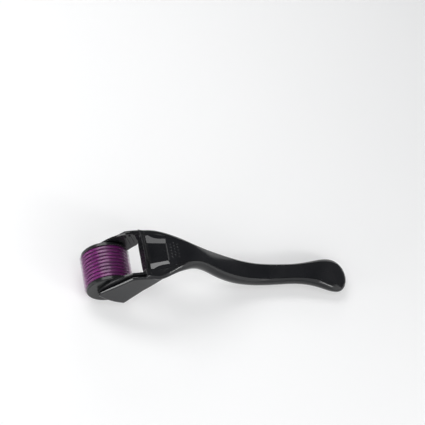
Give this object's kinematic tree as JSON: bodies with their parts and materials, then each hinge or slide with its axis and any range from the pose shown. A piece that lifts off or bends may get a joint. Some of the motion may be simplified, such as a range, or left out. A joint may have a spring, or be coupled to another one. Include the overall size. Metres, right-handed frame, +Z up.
{
  "type": "derma roller",
  "caption": "Micro-needle skin roller: a purple toothed drum turns in a black fork on a curved glossy handle with a paddle tail.",
  "frame": {"origin": "on the floor, below the middle of the roller's length, in its plane of symmetry", "axes": "+X from the drum to the tail, +Y along the drum's axis, +Z up"},
  "size_m": [0.1374, 0.026, 0.0318],
  "materials": {
    "handle_black": "high gloss",
    "cover_black": "high gloss",
    "fork_black": "high gloss",
    "cap_black": "satin gloss",
    "core_purple": "gloss",
    "ring_purple": "gloss, slightly translucent",
    "needle_steel": "etched bright steel",
    "pin_steel": "ground steel"
  },
  "bodies": {
    "handle": {"handle_body": "handle_black", "handle_cover": "cover_black", "fork_frame": "fork_black", "axle_pin": "pin_steel"},
    "drum": {"drum_core": "core_purple", "end_cap_near": "cap_black", "end_cap_far": "cap_black", "needle_disc_01": "needle_steel", "needle_disc_02": "needle_steel", "needle_disc_03": "needle_steel", "needle_disc_04": "needle_steel", "needle_disc_05": "needle_steel", "needle_disc_06": "needle_steel", "needle_disc_07": "needle_steel", "needle_disc_08": "needle_steel", "needle_disc_09": "needle_steel", "needle_disc_10": "needle_steel", "spacer_ring_01": "ring_purple", "spacer_ring_02": "ring_purple", "spacer_ring_03": "ring_purple", "spacer_ring_04": "ring_purple", "spacer_ring_05": "ring_purple", "spacer_ring_06": "ring_purple", "spacer_ring_07": "ring_purple", "spacer_ring_08": "ring_purple", "spacer_ring_09": "ring_purple"}
  },
  "joints": [
    {"name": "drum_spin", "type": "hinge", "parent": "handle", "child": "drum", "pos_m": [-0.0571, 0, 0.0116], "axis": [0, 1, 0], "continuous": true}
  ]
}
